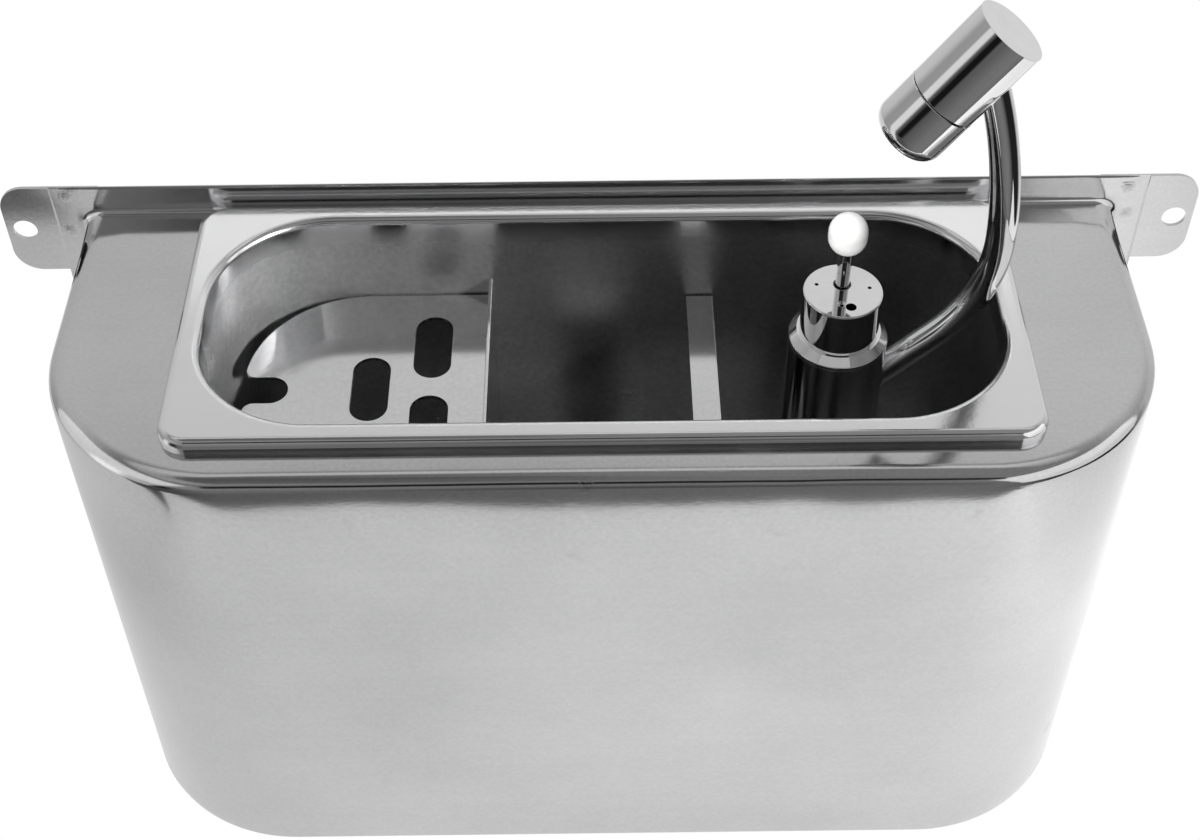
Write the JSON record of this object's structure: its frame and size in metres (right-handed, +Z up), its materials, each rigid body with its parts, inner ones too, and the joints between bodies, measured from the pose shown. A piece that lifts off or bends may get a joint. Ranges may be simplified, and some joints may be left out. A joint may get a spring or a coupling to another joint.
{
  "type": "dipper well",
  "caption": "Wall-hung scoop-rinse well with a drawn basin, lift-out scoop rest and standpipe, and a lever-worked rinse column with an overhead spray arm.",
  "frame": {"origin": "on the wall face, midway between the two fixing holes of the ears", "axes": "+X to the right along the line of the holes, +Y into the wall, +Z up; the object hangs on the -Y side"},
  "size_m": [0.4932, 0.1543, 0.3801],
  "materials": {
    "satin_steel": "satin",
    "pan_steel": "fine satin, drawn",
    "plain_steel": "plain",
    "chrome": "polished",
    "seal_rubber": "matte",
    "brass": "turned",
    "white_plastic": "matte",
    "natural_plastic": "matte"
  },
  "bodies": {
    "well": {"housing": "satin_steel", "ear_left": "satin_steel", "ear_right": "satin_steel", "basin": "pan_steel", "waste_flange": "plain_steel", "waste_gasket": "seal_rubber", "waste_washer": "seal_rubber", "waste_locknut": "brass", "column_gasket": "seal_rubber", "column_base": "chrome", "column_tube": "chrome", "column_collar": "chrome", "column_washer": "seal_rubber", "column_locknut": "brass", "supply_shank": "brass", "riser_tube": "brass", "valve_insert": "brass", "insert_seal": "seal_rubber", "spray_cap": "chrome", "cap_seal": "seal_rubber", "arm_tube": "chrome", "head_body": "chrome", "head_nozzle": "chrome", "head_seal": "seal_rubber", "diffuser_disc": "plain_steel"},
    "swivel": {"swivel_bush": "natural_plastic"},
    "lever": {"lever_rod": "chrome", "lever_knob": "white_plastic", "valve_shoe": "natural_plastic", "return_spring": "plain_steel"},
    "rest": {"scoop_rest": "satin_steel", "rest_leg": "satin_steel"},
    "partition": {"splash_partition": "satin_steel"},
    "overflow": {"standpipe": "plain_steel", "standpipe_seal": "seal_rubber", "overflow_strainer": "plain_steel"}
  },
  "joints": [
    {"name": "lever_tilt_front_back", "type": "hinge", "parent": "well", "child": "swivel", "pos_m": [0.092, -0.068, 0.0193], "axis": [1, 0, 0], "range_deg": [-5, 5], "stiffness_Nm_per_rad": 0.9},
    {"name": "lever_tilt_sideways", "type": "hinge", "parent": "swivel", "child": "lever", "pos_m": [0.092, -0.068, 0.0193], "axis": [0, 1, 0], "range_deg": [-5, 5], "stiffness_Nm_per_rad": 0.9, "deforming": ["return_spring"]},
    {"name": "rest_lift", "type": "slide", "parent": "well", "child": "rest", "axis": [0, 0, 1], "range_m": [0, 0.155]},
    {"name": "partition_lift", "type": "slide", "parent": "well", "child": "partition", "axis": [0, 0, 1], "range_m": [0, 0.155]},
    {"name": "standpipe_lift", "type": "slide", "parent": "well", "child": "overflow", "axis": [0, 0, 1], "range_m": [0, 0.17]}
  ]
}
